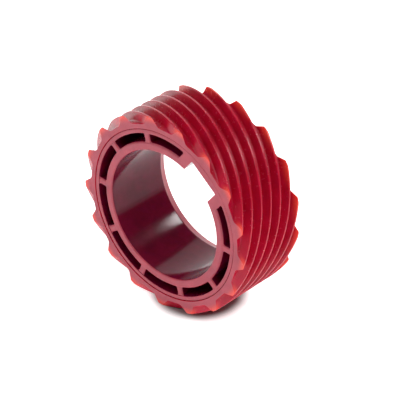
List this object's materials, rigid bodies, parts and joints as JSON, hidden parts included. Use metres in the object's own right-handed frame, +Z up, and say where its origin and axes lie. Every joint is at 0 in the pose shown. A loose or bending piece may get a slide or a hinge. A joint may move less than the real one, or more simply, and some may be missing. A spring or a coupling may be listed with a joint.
{
  "type": "helical drive gear ring",
  "caption": "Ring-shaped multi-start helical drive gear with a ribbed hub, a wide plain bore and a clip notch across the bore wall.",
  "frame": {"origin": "on the gear's axis, midway between the two rim faces", "axes": "+Y along the bore from the open, pocketed front face to the rear face; +Z up as the gear stands on its rim; the middle of the clip notch lies 50.7 degrees from +X towards +Z"},
  "size_m": [0.052, 0.0202, 0.052],
  "materials": {
    "rim_nylon": "semi-gloss moulded nylon, slightly translucent at the thin tooth ends",
    "hub_nylon": "semi-gloss moulded nylon, satin on the flat faces"
  },
  "bodies": {
    "root": {"toothed_rim": "rim_nylon", "outer_band": "hub_nylon", "bore_sleeve": "hub_nylon", "clip_seat": "hub_nylon", "rear_web": "hub_nylon", "rib_1": "hub_nylon", "rib_2": "hub_nylon", "rib_3": "hub_nylon", "rib_4": "hub_nylon", "rib_5": "hub_nylon", "rib_6": "hub_nylon", "rib_7": "hub_nylon", "rib_8": "hub_nylon"}
  },
  "joints": []
}
